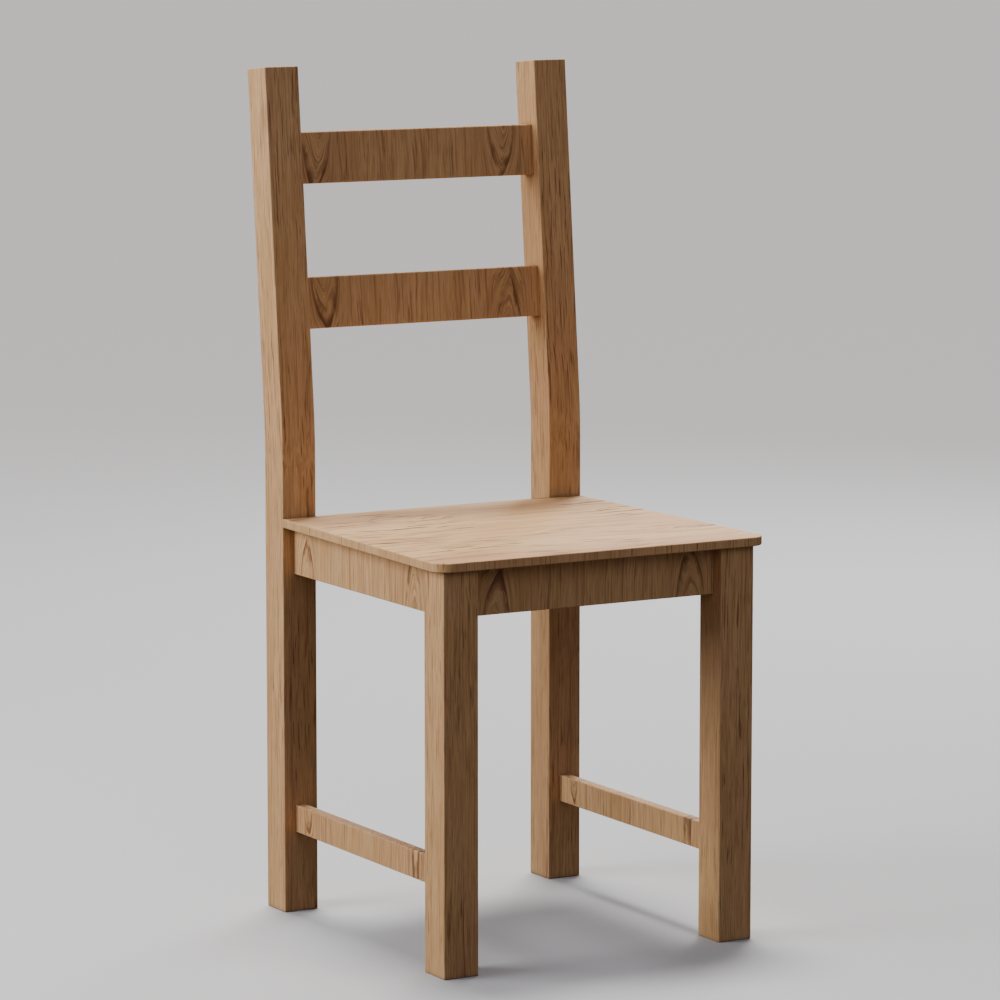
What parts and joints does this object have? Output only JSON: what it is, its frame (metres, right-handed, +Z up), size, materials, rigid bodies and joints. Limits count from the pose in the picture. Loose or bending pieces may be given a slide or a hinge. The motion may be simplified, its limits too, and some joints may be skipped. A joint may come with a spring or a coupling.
{
  "type": "wooden chair",
  "caption": "Plain wooden chair with a thin seat panel, square legs, side stretchers and a slatted back that leans above the seat, for sitting at a table.",
  "frame": {"origin": "on the floor, at the centre of the chair's bounding box seen from above", "axes": "+Z up, the chair faces -Y, the sitter's back is on the +Y side, X = 0 is the plane of symmetry"},
  "size_m": [0.4126, 0.4594, 0.9524],
  "materials": {
    "seat_wood": "matt",
    "leg_wood": "matt",
    "rail_wood": "matt",
    "block_wood": "matt",
    "dowel_wood": "matt",
    "screw_steel": "satin"
  },
  "bodies": {
    "root": {"seat_panel": "seat_wood", "front_leg_left": "leg_wood", "front_leg_right": "leg_wood", "rear_post_left": "leg_wood", "rear_post_right": "leg_wood", "side_apron_left": "rail_wood", "side_apron_right": "rail_wood", "front_apron": "rail_wood", "rear_apron": "rail_wood", "side_stretcher_left": "rail_wood", "side_stretcher_right": "rail_wood", "back_slat_upper": "rail_wood", "back_slat_lower": "rail_wood", "corner_block_front_left": "block_wood", "corner_block_front_right": "block_wood", "corner_block_rear_left": "block_wood", "corner_block_rear_right": "block_wood", "apron_dowels": "dowel_wood", "slat_dowels": "dowel_wood", "stretcher_dowels": "dowel_wood", "block_screws": "screw_steel", "seat_screws": "screw_steel"}
  },
  "joints": []
}
